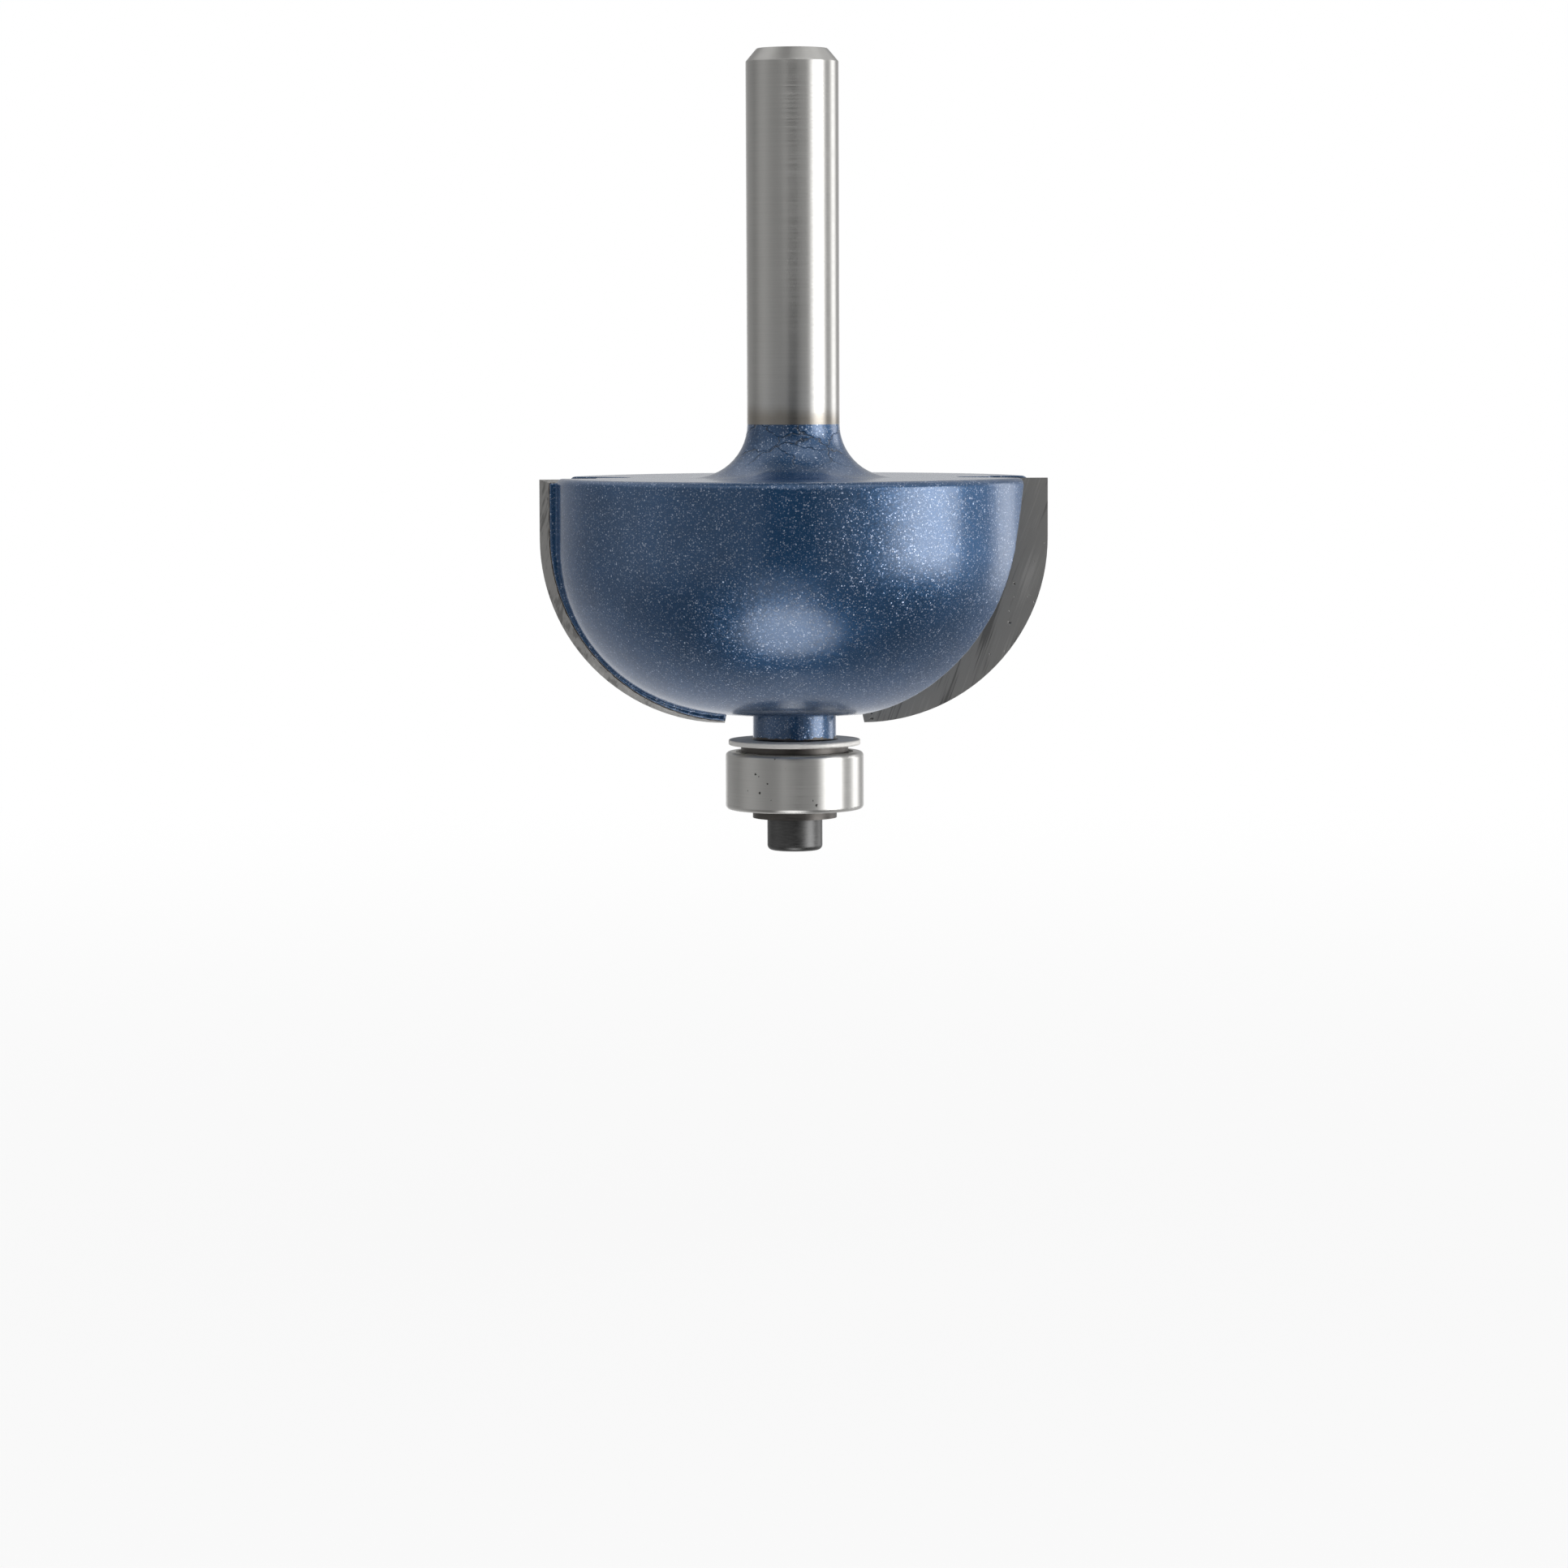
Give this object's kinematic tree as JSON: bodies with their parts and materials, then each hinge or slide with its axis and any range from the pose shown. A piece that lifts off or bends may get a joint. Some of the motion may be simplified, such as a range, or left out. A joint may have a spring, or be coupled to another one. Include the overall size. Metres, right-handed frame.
{
  "type": "cove router bit",
  "caption": "Router bit that cuts a quarter-round cove: a straight shank, a round painted head with brazed carbide tips, and a ball-bearing pilot held by a cap screw.",
  "frame": {"origin": "on the bit's axis at the root of the shank, where the straight shank ends above the fillet", "axes": "+Z along the bit's axis, from the head to the shank's free end; X through both cutting tips, whose rake faces lie in the XZ plane; Y completes the frame"},
  "size_m": [0.035, 0.0328, 0.0549],
  "materials": {
    "painted_steel": "glossy metallic blue paint over steel, with the shank bare and ground",
    "ground_steel": "bare ground steel of the shank",
    "carbide": "ground tungsten carbide",
    "bright_steel": "turned bright steel",
    "dark_steel": "dark steel",
    "bearing_steel": "ground chrome steel",
    "cage_brass": "pressed brass",
    "ball_steel": "polished chrome steel",
    "shield_steel": "pressed steel sheet",
    "black_oxide": "black oxide"
  },
  "bodies": {
    "bit": {"bit_body": "painted_steel", "carbide_tip_1": "carbide", "carbide_tip_2": "carbide", "dust_washer": "bright_steel", "spacer_ring": "dark_steel", "inner_ring": "bearing_steel", "lock_washer": "dark_steel", "cap_screw": "black_oxide"},
    "bearing_rim": {"outer_ring": "bearing_steel", "upper_shield": "shield_steel", "lower_shield": "shield_steel", "upper_snap_ring": "shield_steel", "lower_snap_ring": "shield_steel"},
    "cage": {"ball_cage": "cage_brass"},
    "ball_1": {"ball_1": "ball_steel"},
    "ball_2": {"ball_2": "ball_steel"},
    "ball_3": {"ball_3": "ball_steel"},
    "ball_4": {"ball_4": "ball_steel"},
    "ball_5": {"ball_5": "ball_steel"},
    "ball_6": {"ball_6": "ball_steel"},
    "ball_7": {"ball_7": "ball_steel"}
  },
  "joints": [
    {"name": "rim_spin", "type": "hinge", "parent": "bit", "child": "bearing_rim", "pos_m": [0, 0, -0.02465], "axis": [0, 0, 1], "continuous": true},
    {"name": "cage_spin", "type": "hinge", "parent": "bit", "child": "cage", "pos_m": [0, 0, -0.02465], "axis": [0, 0, 1], "continuous": true},
    {"name": "ball_1_spin", "type": "hinge", "parent": "cage", "child": "ball_1", "pos_m": [0.00198, 0.00248, -0.02465], "axis": [0, 0, 1], "continuous": true},
    {"name": "ball_2_spin", "type": "hinge", "parent": "cage", "child": "ball_2", "pos_m": [-0.00071, 0.0031, -0.02465], "axis": [0, 0, 1], "continuous": true},
    {"name": "ball_3_spin", "type": "hinge", "parent": "cage", "child": "ball_3", "pos_m": [-0.00286, 0.00138, -0.02465], "axis": [0, 0, 1], "continuous": true},
    {"name": "ball_4_spin", "type": "hinge", "parent": "cage", "child": "ball_4", "pos_m": [-0.00286, -0.00138, -0.02465], "axis": [0, 0, 1], "continuous": true},
    {"name": "ball_5_spin", "type": "hinge", "parent": "cage", "child": "ball_5", "pos_m": [-0.00071, -0.0031, -0.02465], "axis": [0, 0, 1], "continuous": true},
    {"name": "ball_6_spin", "type": "hinge", "parent": "cage", "child": "ball_6", "pos_m": [0.00198, -0.00248, -0.02465], "axis": [0, 0, 1], "continuous": true},
    {"name": "ball_7_spin", "type": "hinge", "parent": "cage", "child": "ball_7", "pos_m": [0.00317, 0, -0.02465], "axis": [0, 0, 1], "continuous": true}
  ],
  "couplings": [
    {"joint": "cage_spin", "follows": "rim_spin", "ratio": 0.625},
    {"joint": "ball_1_spin", "follows": "rim_spin", "ratio": 1.875},
    {"joint": "ball_2_spin", "follows": "rim_spin", "ratio": 1.875},
    {"joint": "ball_3_spin", "follows": "rim_spin", "ratio": 1.875},
    {"joint": "ball_4_spin", "follows": "rim_spin", "ratio": 1.875},
    {"joint": "ball_5_spin", "follows": "rim_spin", "ratio": 1.875},
    {"joint": "ball_6_spin", "follows": "rim_spin", "ratio": 1.875},
    {"joint": "ball_7_spin", "follows": "rim_spin", "ratio": 1.875}
  ]
}
